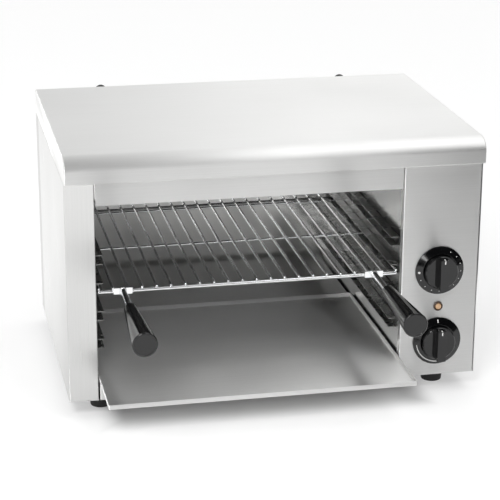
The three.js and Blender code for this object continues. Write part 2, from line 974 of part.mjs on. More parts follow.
const terminalRear = cavityBack - terminalBackGap;
place(
  cabinet,
  "terminal_block",
  geometryOf(
    box(
      controlX - terminalWidth / 2,
      controlX + terminalWidth / 2,
      terminalRear - terminalDepth,
      terminalRear,
      aboveBase,
      aboveBase + terminalHeight,
    ),
  ),
  switchPlastic,
);

// Wire loom from the terminal block to the back of the regulator

function wireLoom() {
  const start = new THREE.Vector3(0, terminalRear - terminalDepth / 2, aboveBase + terminalHeight + seatGap);
  const end = new THREE.Vector3(0, sheet + seatGap + regulatorBodyDepth + seatGap, regulatorHeight);
  const lift = new THREE.Vector3(0, start.y, start.z + loomBow);
  const bend = new THREE.Vector3(0, end.y + loomBow, end.z);
  const path = new THREE.CubicBezierCurve3(start, lift, bend, end);
  const section = new THREE.Shape();
  section.absarc(0, 0, loomRadius, 0, 2 * Math.PI, false);
  const geometry = new THREE.ExtrudeGeometry(section, {
    extrudePath: path,
    steps: loomSteps,
    curveSegments: loomSides,
    bevelEnabled: false,
  });
  return geometry;
}
place(cabinet, "wire_loom", wireLoom(), wireSleeve, controlX, 0, 0);

grill.position.set(-cabinetWidth / 2, (handleReach - rearReach) / 2, footHeight);

export default grill;
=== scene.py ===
# %% [markdown]
# A countertop salamander grill, dressed for its portrait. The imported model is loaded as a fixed
# frame. Every piece that is made here stands where that model says, and rides on one of its bodies.

# %% Load the frame
import math

import bmesh
import bpy
from mathutils import Matrix, Vector


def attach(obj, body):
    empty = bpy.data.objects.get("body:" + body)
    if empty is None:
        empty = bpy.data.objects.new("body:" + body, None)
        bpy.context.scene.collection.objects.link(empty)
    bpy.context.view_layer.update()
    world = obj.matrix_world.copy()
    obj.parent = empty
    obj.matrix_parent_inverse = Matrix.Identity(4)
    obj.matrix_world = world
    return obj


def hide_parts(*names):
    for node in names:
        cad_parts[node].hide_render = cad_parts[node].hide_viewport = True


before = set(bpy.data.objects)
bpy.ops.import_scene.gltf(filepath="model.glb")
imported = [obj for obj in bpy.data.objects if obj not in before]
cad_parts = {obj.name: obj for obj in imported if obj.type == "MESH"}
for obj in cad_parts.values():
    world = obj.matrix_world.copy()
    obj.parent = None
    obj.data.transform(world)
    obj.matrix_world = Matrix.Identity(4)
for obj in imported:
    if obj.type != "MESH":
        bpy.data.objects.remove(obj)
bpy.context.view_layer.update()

# %% [markdown]
# The workshop drawing of the grill gives every place in millimetres from the cabinet's left side,
# its front face and its bottom edge. The frame is in metres, with its origin on the floor under
# the middle of all that shows, handles too, so one function turns a place on the drawing into a
# place in the frame.

# %% From the drawing to the frame
MM = 0.001
WIDTH, DEPTH, HEIGHT = 600, 400, 360  # of the cabinet
FOOT_HEIGHT = 26
ORIGIN_BEHIND_FACE = 111


def at(x, y, z):
    """A place on the drawing, in millimetres, as a place in the frame, in metres."""
    return Vector(((x - WIDTH / 2) * MM, (y - ORIGIN_BEHIND_FACE) * MM, (z + FOOT_HEIGHT) * MM))


# %% [markdown]
# The camera stands to the left and above, with a long lens, as a product photographer works. Its
# place and its directions come from the lines of the photograph. The upright edges hardly run
# together there, although the camera looks down on the grill, as after a large downward shift of
# the lens. Such a shift would push the grill out of the picture from any other side, so this camera
# points straight at the grill, and its upright edges run together a little.

# %% Camera
PICTURE = 500  # the photograph's width, in pixels
focal_pixels = 1768.5
right = Vector((0.978871, -0.204422, 0.004786))
up = Vector((0.061819, 0.318171, 0.946016))
back = right.cross(up)
bpy.ops.object.camera_add(location=at(-225.34, -2307.29, 1019.73))
camera = bpy.context.object
camera.name = "portrait_camera"
camera.rotation_euler = Matrix((right, up, back)).transposed().to_euler()
camera.data.sensor_width = 36
camera.data.lens = focal_pixels / PICTURE * camera.data.sensor_width
camera.data.clip_end = 100
bpy.context.scene.camera = camera
print("lens:", round(camera.data.lens, 1), "mm")

# %% [markdown]
# Stainless steel has hardly a colour of its own: it shows the room. So the room comes first. It
# is a studio, white behind the grill and to its left. A window lies overhead to the right, with
# greyer walls under it, and the end of the room behind the camera is dark. The camera itself sees
# plain white wherever it looks past the floor.

# %% Small helpers for nodes


def srgb(code):
    """A colour written as sRGB hex, such as "#E8E8E8", in the linear values that shaders take."""
    parts = [int(code[i : i + 2], 16) / 255 for i in (1, 3, 5)]
    return (*[p / 12.92 if p <= 0.04045 else ((p + 0.055) / 1.055) ** 2.4 for p in parts], 1)


def feed(node, links):
    """Sets sockets of a node: to a value, to another node's output, or to a node's first one."""
    for socket, source in links.items():
        if isinstance(source, bpy.types.Node):
            source = source.outputs[0]
        if isinstance(source, bpy.types.NodeSocket):
            node.id_data.links.new(source, node.inputs[socket])
        else:
            node.inputs[socket].default_value = source


def add_node(tree, kind, links=(), **settings):
    """Adds a node with its own settings, and feeds its sockets."""
    node = tree.nodes.new(kind)
    for key, value in settings.items():
        setattr(node, key, value)
    feed(node, dict(links))
    return node


def fade(tree, value, start, end, near, far, most=1.0):
    """A colour that turns smoothly into another, while a value goes from start to end."""
    share = add_node(
        tree,
        "ShaderNodeMapRange",
        {"Value": value, "From Min": start, "From Max": end, "To Max": most},
        interpolation_type="SMOOTHSTEP",
    )
    links = {"Factor": share, 6: near, 7: far}
    return add_node(tree, "ShaderNodeMix", links, data_type="RGBA").outputs[2]


# %% The studio round the grill
WINDOW = (2.5, 2.5, 2.5, 1)  # brighter than white paper
WINDOW_FRONT = (1.6, 1.6, 1.6, 1)
world = bpy.data.worlds.new("white_studio")
world.use_nodes = True
bpy.context.scene.world = world
tree = world.node_tree
tree.nodes.clear()
direction = add_node(tree, "ShaderNodeTexCoord").outputs["Generated"]
x, y, z = add_node(tree, "ShaderNodeSeparateXYZ", {"Vector": direction}).outputs
# Overhead the studio is bright to the right, where its window lies, and dim to the left.
dim = fade(tree, z, 0.88, 0.98, srgb("#ECECEC"), srgb("#2C2C2C"))
overhead = fade(tree, x, 0.09, 0.28, dim, WINDOW)
low = fade(tree, x, 0.08, 0.3, srgb("#FCFCFC"), srgb("#6C6C6C"))
room = fade(tree, z, 0.7, 0.96, low, overhead)
# It grows darker towards the front.
high_front = fade(tree, x, 0.14, 0.22, srgb("#505050"), WINDOW_FRONT)
room = fade(tree, y, 0.2, -0.6, room, high_front, most=0.9)
# The dark end of the room lies in front of the grill, below the height of the camera.
low_front = fade(tree, x, 0.34, 0.42, srgb("#101010"), srgb("#C0C0C0"))
low_front = fade(tree, x, -0.3, -0.4, low_front, srgb("#FFFFFF"))
front = fade(tree, z, 0.5, 0.38, room, low_front)
room = fade(tree, y, 0.1, -0.45, room, front)
seen = add_node(tree, "ShaderNodeLightPath")
lit = add_node(tree, "ShaderNodeBackground", {"Color": room, "Strength": 1.25})
plain = add_node(tree, "ShaderNodeBackground", {"Color": srgb("#FFFFFF"), "Strength": 1.0})
both = add_node(tree, "ShaderNodeMixShader", {0: seen.outputs["Is Camera Ray"], 1: lit, 2: plain})
add_node(tree, "ShaderNodeOutputWorld", {"Surface": both})

bpy.context.scene.view_settings.view_transform = "Standard"

# %% [markdown]
# The grill stands on a large sheet of white paper. The paper keeps the soft shadow under the tray
# and the cabinet. A little light of its own, outside that shadow, makes it as white as the
# photograph's background without more light on the grill. The steel sees more of that light than
# the camera does, behind the grill and far in front of it, as it would see a lit studio floor.

# %% Floor
FLOOR_SIZE = 40
SHADOW_MIDDLE, SHADOW_HALF_WIDTH = -0.015, 0.205  # from left to right
SHADOW_FRONT, SHADOW_REAR = -0.12, 0.33
SHADOW_EDGE = 0.05  # how softly the shadow ends
GLOW_INSIDE, GLOW_OUTSIDE = 0.075, 0.42
bpy.ops.object.select_all(action="DESELECT")
bpy.ops.mesh.primitive_plane_add(size=FLOOR_SIZE, location=(0, 0, 0))
floor = bpy.context.object
floor.name = "paper_floor"
paper = bpy.data.materials.new("white_paper")
paper.use_nodes = True
tree = paper.node_tree
tree.nodes.clear()
seen = add_node(tree, "ShaderNodeLightPath")
place = add_node(tree, "ShaderNodeTexCoord").outputs["Object"]
x, y, z = add_node(tree, "ShaderNodeSeparateXYZ", {"Vector": place}).outputs
# How far a place on the floor lies outside the shadow, to a side, ahead of it or behind it
aside = add_node(tree, "ShaderNodeMath", {0: x, 1: SHADOW_MIDDLE}, operation="SUBTRACT")
aside = add_node(tree, "ShaderNodeMath", {0: aside}, operation="ABSOLUTE")
aside = add_node(tree, "ShaderNodeMath", {0: aside, 1: SHADOW_HALF_WIDTH}, operation="SUBTRACT")
ahead = add_node(tree, "ShaderNodeMath", {0: SHADOW_FRONT, 1: y}, operation="SUBTRACT")
behind = add_node(tree, "ShaderNodeMath", {0: y, 1: SHADOW_REAR}, operation="SUBTRACT")
outside = add_node(tree, "ShaderNodeMath", {0: aside, 1: ahead}, operation="MAXIMUM")
outside = add_node(tree, "ShaderNodeMath", {0: outside, 1: behind}, operation="MAXIMUM")
ends = {"From Min": 0, "From Max": SHADOW_EDGE, "To Min": GLOW_INSIDE, "To Max": GLOW_OUTSIDE}
glow = add_node(
    tree, "ShaderNodeMapRange", {"Value": outside, **ends}, interpolation_type="SMOOTHSTEP"
)
# The steel's share of it, behind the grill and far in front of it
ends = {"From Min": 0, "From Max": 0.3, "To Min": 1.35, "To Max": 1.9}
near_share = add_node(tree, "ShaderNodeMapRange", {"Value": y, **ends})
ends = {"From Min": -0.6, "From Max": -1.1, "To Min": 0, "To Max": 1.6}
far_share = add_node(tree, "ShaderNodeMapRange", {"Value": y, **ends})
share = add_node(tree, "ShaderNodeMath", {0: near_share, 1: far_share}, operation="MAXIMUM")
links = {0: share, 1: seen.outputs["Is Glossy Ray"]}
share = add_node(tree, "ShaderNodeMath", links, operation="MULTIPLY")
links = {0: share, 1: seen.outputs["Is Camera Ray"]}
share = add_node(tree, "ShaderNodeMath", links, operation="MAXIMUM")
glow = add_node(tree, "ShaderNodeMath", {0: share, 1: glow}, operation="MULTIPLY")
own_light = add_node(tree, "ShaderNodeEmission", {"Color": srgb("#FFFFFF"), "Strength": glow})
matt = add_node(tree, "ShaderNodeBsdfDiffuse", {"Color": srgb("#CACACA")})
total = add_node(tree, "ShaderNodeAddShader", {0: matt, 1: own_light})
add_node(tree, "ShaderNodeOutputMaterial", {"Surface": total})
floor.data.materials.append(paper)

# %% [markdown]
# Two dark cards stand for the dark end of the room, one on the floor and one upright, to the right
# of the camera. The upper right of the fascia and the right end of the cover's lip show them as a
# soft darker patch. Only steel and plastic see them, so they are in no picture themselves.

# %% Dark cards
card_paper = bpy.data.materials.new("dark_grey_card")
card_paper.use_nodes = True
card_look = card_paper.node_tree.nodes["Principled BSDF"]
feed(card_look, {"Base Color": srgb("#080808"), "Specular IOR Level": 0})
for name, place, size, tilt in (
    ("dark_card_on_the_floor", (1.41, -1.83, 0.004), (1.7, 2.34), 0),
    ("dark_card_upright", (1.25, -1.35, 1.2), (1.3, 2.4), math.pi / 2),
):
    bpy.ops.mesh.primitive_plane_add(size=1, location=place, rotation=(tilt, 0, 0))
    card = bpy.context.object
    card.name = name
    card.dimensions = (*size, 0)
    card.visible_camera = card.visible_diffuse = card.visible_shadow = False
    card.data.materials.append(card_paper)

# %% [markdown]
# Two soft boxes stand in front of the grill, both to the left: a strong one above the camera, and a
# weak one near the floor, which draws the broad light patch on the dials.

# %% Lamps
AIM = Vector((0, -0.1, 0.2))  # the middle of the grill's front
LAMP_DISTANCE = 3
for name, way, size, power in (
    ("key_softbox", (-0.36, -0.66, 0.66), 0.9, 45),
    ("front_left_softbox", (-0.22, -0.96, 0.17), 0.6, 9),
):
    place = AIM + Vector(way) * LAMP_DISTANCE
    bpy.ops.object.light_add(type="AREA", location=place)
    lamp = bpy.context.object
    lamp.name = name
    lamp.data.shape = "SQUARE"
    lamp.data.size = size
    lamp.data.energy = power
    lamp.rotation_euler = (AIM - place).to_track_quat("-Z", "Y").to_euler()

# %% [markdown]
# Brushed stainless sheet: a nickel and chromium steel, rubbed with a fine belt in one direction.
# The belt leaves scratches some tenths of a millimetre apart, which blur reflections across the
# grain and keep them along it. They are too fine to show at this size, so the grain is drawn
# 1.2 mm wide. The blur comes from an anisotropic shader whose tangent lies across the grain.

# %% Brushed stainless
GRAIN_WIDTH, GRAIN_LENGTH = 1.2, 140
HAZE_SIZE = 142.86


def new_material(name, **settings):
    """An empty material with its shader, whose sockets are named in plain words."""
    material = bpy.data.materials.new(name)
    material.use_nodes = True
    tree = material.node_tree
    tree.nodes.clear()
    sockets = {key.replace("_", " ").title(): value for key, value in settings.items()}
    shader = add_node(tree, "ShaderNodeBsdfPrincipled", sockets)
    add_node(tree, "ShaderNodeOutputMaterial", {"Surface": shader})
    return material, tree, shader


def noise(tree, sizes, detail, roughness=0.5):
    """Noise on a piece, with patches of the given sizes in millimetres along the three axes."""
    place = add_node(tree, "ShaderNodeTexCoord").outputs["Object"]
    scale = [1 / (size * MM) for size in sizes]
    place = add_node(tree, "ShaderNodeMapping", {"Vector": place, "Scale": scale})
    links = {"Vector": place, "Scale": 1.0, "Detail": detail, "Roughness": roughness}
    return add_node(tree, "ShaderNodeTexNoise", links)


def mottle(shader, patches, dark, light):
    """Lets noise vary a surface between two colours."""
    links = {"Factor": patches, 6: srgb(dark), 7: srgb(light)}
    colour = add_node(shader.id_data, "ShaderNodeMix", links, data_type="RGBA")
    feed(shader, {"Base Color": colour.outputs[2]})


def roughen(shader, patches, smoothest, roughest, low=0.0, high=1.0):
    """Lets noise between low and high vary a surface between two values of roughness."""
    links = {"Value": patches, "From Min": low, "From Max": high}
    links.update({"To Min": smoothest, "To Max": roughest})
    feed(shader, {"Roughness": add_node(shader.id_data, "ShaderNodeMapRange", links)})


def brushed_stainless(name, grain, tone, darker, roughness, stretch):
    """Sheet whose grain runs along an axis. The stretch is how far it draws reflections out."""
    material, tree, shader = new_material(name, metallic=1.0, anisotropic=stretch)
    lines = noise(tree, [GRAIN_LENGTH if axis == grain else GRAIN_WIDTH for axis in "XYZ"], 3, 0.6)
    mottle(shader, lines, darker, tone)
    # The scratches and a wide haze together make it smoother here and rougher there.
    haze = noise(tree, [HAZE_SIZE] * 3, 2)
    uneven = add_node(tree, "ShaderNodeMath", {0: lines, 1: haze}, operation="ADD")
    roughen(shader, uneven, roughness - 0.05, roughness + 0.05, 0.6, 1.4)
    links = {"Height": lines, "Strength": 0.12, "Distance": 0.05 * MM}
    scratches = add_node(tree, "ShaderNodeBump", links)
    normal = add_node(tree, "ShaderNodeNewGeometry").outputs["Normal"]
    links = {0: normal, 1: [float(axis == grain) for axis in "XYZ"]}
    crossed = add_node(tree, "ShaderNodeVectorMath", links, operation="CROSS_PRODUCT")
    feed(shader, {"Normal": scratches, "Tangent": crossed})
    return material


stainless_x = brushed_stainless("brushed_stainless_lengthways", "X", "#EEEEED", "#E3E3E2", 0.4, 1.0)
# Painted shade: the upright sides with the post, and more so the side liners, are darker copies of
# the same steel.
shaded_stainless_z = brushed_stainless("brushed_stainless_upright_painted_shade", "Z", "#C9C9C8", "#BDBDBC", 0.3, 0.7)
shaded_liner_side = brushed_stainless("brushed_liner_front_to_back_painted_shade", "Y", "#A8A8A7", "#9A9A99", 0.22, 0.9)

# %% [markdown]
# The base, the roof and the back of the cooking space, the guides and the cabinet's back panel are
# plain rolled stainless, without a grain. The guides, the roof and the base are painted darker, as
# shade, because little light reaches them, and the roof and the base are darkest. The haze is in
# patches some centimetres wide.

# %% Rolled stainless
PATCH_SIZE = 45.45


def rolled_stainless(name, tone, darker, roughness):
    material, tree, shader = new_material(name, metallic=1.0)
    patches = noise(tree, [PATCH_SIZE] * 3, 4)
    mottle(shader, patches, darker, tone)
    roughen(shader, patches, roughness - 0.05, roughness + 0.07)
    return material


liner_back = rolled_stainless("rolled_stainless_back", "#DCDCDB", "#D0D0CF", 0.11)
# Painted shade: the roof, the base pan and the guides are darker copies of the same steel.
liner_steel = rolled_stainless("rolled_stainless_liner_painted_shade", "#3C3C3B", "#323231", 0.26)
shaded_guide_steel = rolled_stainless("rolled_stainless_guides_painted_shade", "#8E8E8D", "#828281", 0.26)
rear_steel = rolled_stainless("rolled_stainless_rear", "#A8A8A7", "#9C9C9B", 0.3)

# %% [markdown]
# The rack and the handles' rods are steel wire with bright chromium plating: smooth, hard and
# nearly a mirror, with small ripples from the drawing of the wire under the plating. The ripples
# are longer along the rods, which run from front to back.

# %% Chromium plating
RIPPLE_WIDTH, RIPPLE_LENGTH = 6.25, 16.67
chrome, tree, shader = new_material("chromium_plated_wire", metallic=1.0, base_color=srgb("#E4E5E6"))
ripple = noise(tree, (RIPPLE_WIDTH, RIPPLE_LENGTH, RIPPLE_WIDTH), 2)
roughen(shader, ripple, 0.1, 0.2)
links = {"Height": ripple, "Strength": 0.15, "Distance": 0.1 * MM}
feed(shader, {"Normal": add_node(tree, "ShaderNodeBump", links)})

# %% [markdown]
# Knobs, dials and grips are black phenolic, the hard moulded resin of cookware handles. It comes
# out of a polished mould with a deep gloss, and clouds slightly where hands rub it. Rubber, printed
# ink, ceramic and sleeving differ from it in colour, gloss and grit only.

# %% Moulded phenolic
CLOUD_SIZE = 25


def moulded(name, tone, lighter, roughness, spread, grit, **settings):
    """A moulded surface whose texture has the given grit, in millimetres."""
    material, tree, shader = new_material(name, **settings)
    clouds = noise(tree, [CLOUD_SIZE] * 3, 2)
    mottle(shader, clouds, tone, lighter)
    roughen(shader, clouds, roughness - spread, roughness + spread)
    links = {"Height": noise(tree, [grit] * 3, 3), "Strength": 0.2, "Distance": 0.03 * MM}
    feed(shader, {"Normal": add_node(tree, "ShaderNodeBump", links)})
    return material


phenolic = moulded("black_phenolic", "#060607", "#0D0D0E", 0.11, 0.03, 1.6)
rubber = moulded("black_rubber", "#161616", "#202020", 0.72, 0.08, 1.2)
cream_plastic = moulded("cream_urea_moulding", "#CFC9BA", "#DBD6C8", 0.45, 0.08, 1.5)
white_print = moulded("white_printed_ink", "#D8D8D6", "#E6E6E4", 0.5, 0.05, 1.2)
ceramic = moulded("unglazed_ceramic", "#DDD8CC", "#EAE6DC", 0.7, 0.08, 1.0)
fibre = moulded("ceramic_fibre_blanket", "#DCD9D0", "#ECE9E2", 0.95, 0.04, 3.0)
sleeving = moulded("glass_fibre_sleeving", "#A3967A", "#C2B595", 0.8, 0.06, 1.4)

# %% [markdown]
# The pilot lamp has a pressed amber lens in a bronze-coloured ring, and the heating elements are
# tubes of milky fused quartz. The lens and the quartz let some light through.

# %% Lens, ring and quartz
lamp_ring = moulded("bronze_brown_moulding", "#3A2A20", "#4A382B", 0.3, 0.05, 1.6)
amber = moulded(
    "amber_pressed_lens", "#DDAC80", "#F0CFA8", 0.15, 0.04, 1.8, transmission_weight=0.35
)
quartz = moulded(
    "milky_fused_quartz", "#E6E1D8", "#F3F0EA", 0.22, 0.05, 2.0, transmission_weight=0.4
)

# %% [markdown]
# A few small helpers follow. They select by place, as a hand with the mouse would, and add and
# apply a modifier in one line.

# %% Helpers for modelling


def deselect():
    if bpy.context.object and bpy.context.object.mode != "OBJECT":
        bpy.ops.object.mode_set(mode="OBJECT")
    bpy.ops.object.select_all(action="DESELECT")


def select_only(piece):
    deselect()
    piece.select_set(True)
    bpy.context.view_layer.objects.active = piece


def edit(piece):
    select_only(piece)
    bpy.ops.object.mode_set(mode="EDIT")


def middle(part):
    """The middle of a vertex, an edge or a face."""
    points = [part.co] if hasattr(part, "co") else [v.co for v in part.verts]
    return sum(points, Vector()) / len(points)


def pick(kind, test):
    """Selects the vertices, edges or faces of the piece in edit mode that pass a test."""
    bpy.ops.mesh.select_mode(type=kind)
    bpy.ops.mesh.select_all(action="DESELECT")
    mesh = bpy.context.edit_object.data
    shape = bmesh.from_edit_mesh(mesh)
    parts = {"VERT": shape.verts, "EDGE": shape.edges, "FACE": shape.faces}[kind]
    chosen = [part for part in parts if test(part)]
    for part in chosen:
        part.select_set(True)
    bmesh.update_edit_mesh(mesh)
    return len(chosen)


def modify(piece, kind, **settings):
    """Adds a modifier and applies it."""
    select_only(piece)
    bpy.ops.object.modifier_add(type=kind)
    modifier = piece.modifiers[-1]
    for key, value in settings.items():
        setattr(modifier, key, value)
    bpy.ops.object.modifier_apply(modifier=modifier.name)


def round_edges(radius, segments):
    """Rounds the selected edges of the piece in edit mode, by a radius in millimetres."""
    bpy.ops.mesh.bevel(offset=radius * MM, offset_type="OFFSET", segments=segments, profile=0.5)


def break_edges(piece, width, segments, sharper_than):
    """Bevels every edge that is sharper than an angle in radians, by a width in millimetres."""
    angle = {"limit_method": "ANGLE", "angle_limit": sharper_than}
    modify(piece, "BEVEL", width=width * MM, segments=segments, **angle)


def apply_place():
    """Puts the selected piece's place into its mesh, so that its object sits at the origin."""
    bpy.ops.object.transform_apply(location=True, rotation=True, scale=True)


def add_box(name, low, high):
    """A cube at its size and place, between two corners on the drawing."""
    deselect()
    a, b = at(*low), at(*high)
    bpy.ops.mesh.primitive_cube_add(size=1, location=(a + b) / 2)
    piece = bpy.context.object
    piece.name = name
    piece.dimensions = b - a
    apply_place()
    return piece


WAYS = {
    "FRONT": (0, -1, 0),
    "BACK": (0, 1, 0),
    "UP": (0, 0, 1),
    "DOWN": (0, 0, -1),
    "RIGHT": (1, 0, 0),
}
TURNS = {
    "FRONT": (math.pi / 2, 0, 0),
    "BACK": (-math.pi / 2, 0, 0),
    "UP": (0, 0, 0),
    "DOWN": (math.pi, 0, 0),
    "RIGHT": (0, math.pi / 2, 0),
}


def add_round(name, radius, length, place, facing="FRONT", vertices=48, end_radius=None):
    """A cylinder or cone whose base is centred on a place and which points one way."""
    deselect()
    bpy.ops.mesh.primitive_cone_add(
        vertices=vertices,
        radius1=radius * MM,
        radius2=(radius if end_radius is None else end_radius) * MM,
        depth=length * MM,
        location=at(*place) + Vector(WAYS[facing]) * length * MM / 2,
        rotation=TURNS[facing],
    )
    piece = bpy.context.object
    piece.name = name
    apply_place()
    return piece


def dress(piece, material, slot, body, *nodes, smooth=30):
    """Gives a finished piece its surface, and says what it stands for and what it rides on."""
    select_only(piece)
    bpy.ops.object.shade_smooth_by_angle(angle=math.radians(smooth))
    # Large flat faces keep their flat shading beside small bevels.
    modify(piece, "WEIGHTED_NORMAL", keep_sharp=True, weight=100)
    if material:
        piece.data.materials.clear()
        piece.data.materials.append(material)
    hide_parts(*nodes)
    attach(piece, body)
    print(piece.name, "faces:", len(piece.data.polygons))


def copy_to(piece, name, x, y, z):
    """A copy of a piece, with its own mesh, moved by millimetres."""
    select_only(piece)
    bpy.ops.object.duplicate()
    bpy.ops.transform.translate(value=(x * MM, y * MM, z * MM))
    apply_place()
    bpy.context.object.name = name
    return bpy.context.object


def join(pieces, name):
    deselect()
    for piece in pieces:
        piece.select_set(True)
    bpy.context.view_layer.objects.active = pieces[0]
    bpy.ops.object.join()
    pieces[0].name = name
    return pieces[0]


# %% [markdown]
# The cover is one sheet, folded down at the sides and the back. Its front is rolled over in a
# flat curve, longer than it is high, and turned in at the bottom. A bevel rounds an edge by a
# circle, so the block is first squeezed front to back, its edge is rounded by the nose's height,
# and it is stretched again: the circle becomes the ellipse.

# %% Top cover
SHEET = 1.2
BEND = 1.6  # outer radius of a fold in that sheet
NOSE_REACH = 13  # how far the nose stands out in front of the face
NOSE_LENGTH, NOSE_HEIGHT = 29, 18
SKIRT_HEIGHT = 36
LIP_DEPTH, LIP_WIDTH = 12.7, 596
CLOSE = 0.01 * MM  # two places closer than this are the same
cover_low = (0, -NOSE_REACH, HEIGHT - SKIRT_HEIGHT)
cover = add_box("top_cover_sheet", cover_low, (WIDTH, DEPTH, HEIGHT))
edit(cover)
squeeze = NOSE_HEIGHT / NOSE_LENGTH
nose_front = at(0, -NOSE_REACH, 0)
bpy.ops.mesh.select_all(action="SELECT")
bpy.ops.transform.resize(value=(1, squeeze, 1), center_override=nose_front)
top = at(0, 0, HEIGHT).z


def on_top_front(edge):
    m = middle(edge)
    return abs(m.y - nose_front.y) < CLOSE and abs(m.z - top) < CLOSE


pick("EDGE", on_top_front)
round_edges(NOSE_HEIGHT, 28)
bpy.ops.mesh.select_all(action="SELECT")
bpy.ops.transform.resize(value=(1, 1 / squeeze, 1), center_override=nose_front)

# The block is opened at the bottom, and its front edge is turned in.
pick("FACE", lambda face: face.normal.z < -0.9)
bpy.ops.mesh.delete(type="FACE")


def on_bottom_front(edge):
    m = middle(edge)
    return edge.is_boundary and abs(m.y - nose_front.y) < CLOSE


pick("EDGE", on_bottom_front)
bpy.ops.mesh.extrude_region_move(TRANSFORM_OT_translate={"value": (0, LIP_DEPTH * MM, 0)})
narrower = (LIP_WIDTH / WIDTH, 1, 1)
bpy.ops.transform.resize(value=narrower, center_override=at(WIDTH / 2, 0, 0))

# The folds get their radius. A fold is an edge between two faces that meet at an angle.
pick("EDGE", lambda e: len(e.link_faces) == 2 and e.calc_face_angle() > math.radians(50))
round_edges(BEND, 4)
bpy.ops.object.mode_set(mode="OBJECT")
modify(cover, "SOLIDIFY", thickness=SHEET * MM, offset=-1, use_even_offset=True)
break_edges(cover, 0.25, 2, sharper_than=1.0)
dress(cover, stainless_x, "brushed_steel", "cabinet", "top_cover")

# %% [markdown]
# The other sheets of the cabinet are already drawn with all their flanges, holes and slots in the
# frame, but with the razor edges of a drawing. A press brake bends steel round a nose, so every
# fold has a radius, 1.6 mm outside and 0.4 mm inside, and every cut edge is deburred. So each is
# copied, its loose triangles are merged to whole faces, its long folds are found and bevelled, and
# a fine bevel breaks the edges that are left. The back panel keeps its sharp rim, which closes
# the cabinet flush.

# %% Folded sheets
SHORTEST_FOLD = 25
NARROWEST_FLANGE = 3
FOLD_ANGLE = 0.8  # the least turn of a fold, in radians
EDGE_BREAK = 0.25


def folded_copy(node, name, rim=EDGE_BREAK):
    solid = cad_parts[node]
    piece = bpy.data.objects.new(name, solid.data.copy())
    bpy.context.scene.collection.objects.link(piece)
    edit(piece)
    bpy.ops.mesh.select_all(action="SELECT")
    bpy.ops.mesh.remove_doubles(threshold=1e-6)
    bpy.ops.mesh.dissolve_limited(angle_limit=math.radians(1))

    def is_fold(edge, convex):
        if len(edge.link_faces) != 2 or edge.is_convex != convex:
            return False
        length = edge.calc_length()
        if length < SHORTEST_FOLD * MM or edge.calc_face_angle() < FOLD_ANGLE:
            return False
        widths = [face.calc_area() / length for face in edge.link_faces]
        return min(widths) > NARROWEST_FLANGE * MM

    folds = 0
    for convex, radius in ((True, BEND), (False, BEND - SHEET)):
        found = pick("EDGE", lambda edge: is_fold(edge, convex))
        if found:
            round_edges(radius, 4)
        folds += found
    bpy.ops.object.mode_set(mode="OBJECT")
    if rim:
        break_edges(piece, rim, 2, sharper_than=0.7)
    print(name, "folds:", folds)
    return piece


outside = {
    "left_side_panel": shaded_stainless_z,
    "right_side_panel": shaded_stainless_z,
    "control_fascia": stainless_x,
    "header_panel": stainless_x,
    "back_panel": rear_steel,
}
for node, material in outside.items():
    rim = 0 if node == "back_panel" else EDGE_BREAK
    sheet = folded_copy(node, node + "_sheet", rim=rim)
    dress(sheet, material, "brushed_steel", "cabinet", node)
inside = {
    "cavity_floor": stainless_x,
    "base_pan": liner_steel,
    "left_liner": shaded_liner_side,
    "right_liner": shaded_liner_side,
    "back_liner": liner_back,
    "roof_reflector": liner_steel,
}
for node, material in inside.items():
    dress(folded_copy(node, node + "_sheet"), material, "liner_steel", "cabinet", node)
for side in ("left", "right"):
    for level in range(1, 5):
        node = f"{side}_guide_{level}"
        sheet = folded_copy(node, node + "_channel")
        dress(sheet, shaded_guide_steel, "liner_steel", "cabinet", node)

# %% [markdown]
# The drip tray is a shallow pan, folded up on four sides, with a sharp lip. It starts as a block
# at its outer size. The block loses its top, its bottom edges and corners are rounded, and the
# skin is given the thickness of the sheet inwards.

# %% Drip tray
TRAY_LEFT, TRAY_RIGHT = 43.5, 482.9
TRAY_OUT, TRAY_LENGTH = 98.4, 369
TRAY_BOTTOM, TRAY_WALL = 27.3, 7.2
tray_low = (TRAY_LEFT, -TRAY_OUT, TRAY_BOTTOM)
tray_high = (TRAY_RIGHT, TRAY_LENGTH - TRAY_OUT, TRAY_BOTTOM + TRAY_WALL)
tray = add_box("drip_tray_pan", tray_low, tray_high)
edit(tray)
pick("FACE", lambda face: face.normal.z > 0.9)
bpy.ops.mesh.delete(type="FACE")
pick("EDGE", lambda edge: not edge.is_boundary)
round_edges(BEND, 4)
bpy.ops.object.mode_set(mode="OBJECT")
modify(tray, "SOLIDIFY", thickness=SHEET * MM, offset=-1, use_even_offset=True)
break_edges(tray, 0.3, 2, sharper_than=1.0)
dress(tray, stainless_x, "brushed_steel", "tray", "drip_tray")

# %% [markdown]
# The rack is welded from 4 mm rods on three cross bars. One rod is modelled, with its cut ends
# rounded, and copied across. The front bar is thicker, because the handles are welded to it.

# %% Wire rack
LINER_LEFT, LINER_RIGHT = 40.5, 485.9  # the inner faces of the side liners
ROD_GAP = 6.2  # from a liner to the middle of the nearest rod
ROD_X = LINER_LEFT + ROD_GAP
SPACES = 21  # between the 22 rods
PITCH = (LINER_RIGHT - LINER_LEFT - 2 * ROD_GAP) / SPACES
ROD_RADIUS, FRONT_BAR_RADIUS = 2, 3
ROD_LENGTH, ROD_START = 363, 12
RACK_Z = 162.6  # the middle of the rods
WELD = 0.3  # how far a rod sinks into a bar where they are welded
BAR_PLACES = ((FRONT_BAR_RADIUS, 15.2), (ROD_RADIUS, 197.9), (ROD_RADIUS, 371))
CUT_END_SHARE = 0.8  # how much of a rod's radius its rounded end takes


def wire(name, radius, length, place, facing, vertices=20):
    rod = add_round(name, radius, length, place, facing, vertices)
    edit(rod)
    pick("EDGE", lambda edge: len(edge.link_faces) == 2 and edge.calc_face_angle() > 1.2)
    round_edges(radius * CUT_END_SHARE, 3)
    bpy.ops.object.mode_set(mode="OBJECT")
    return rod


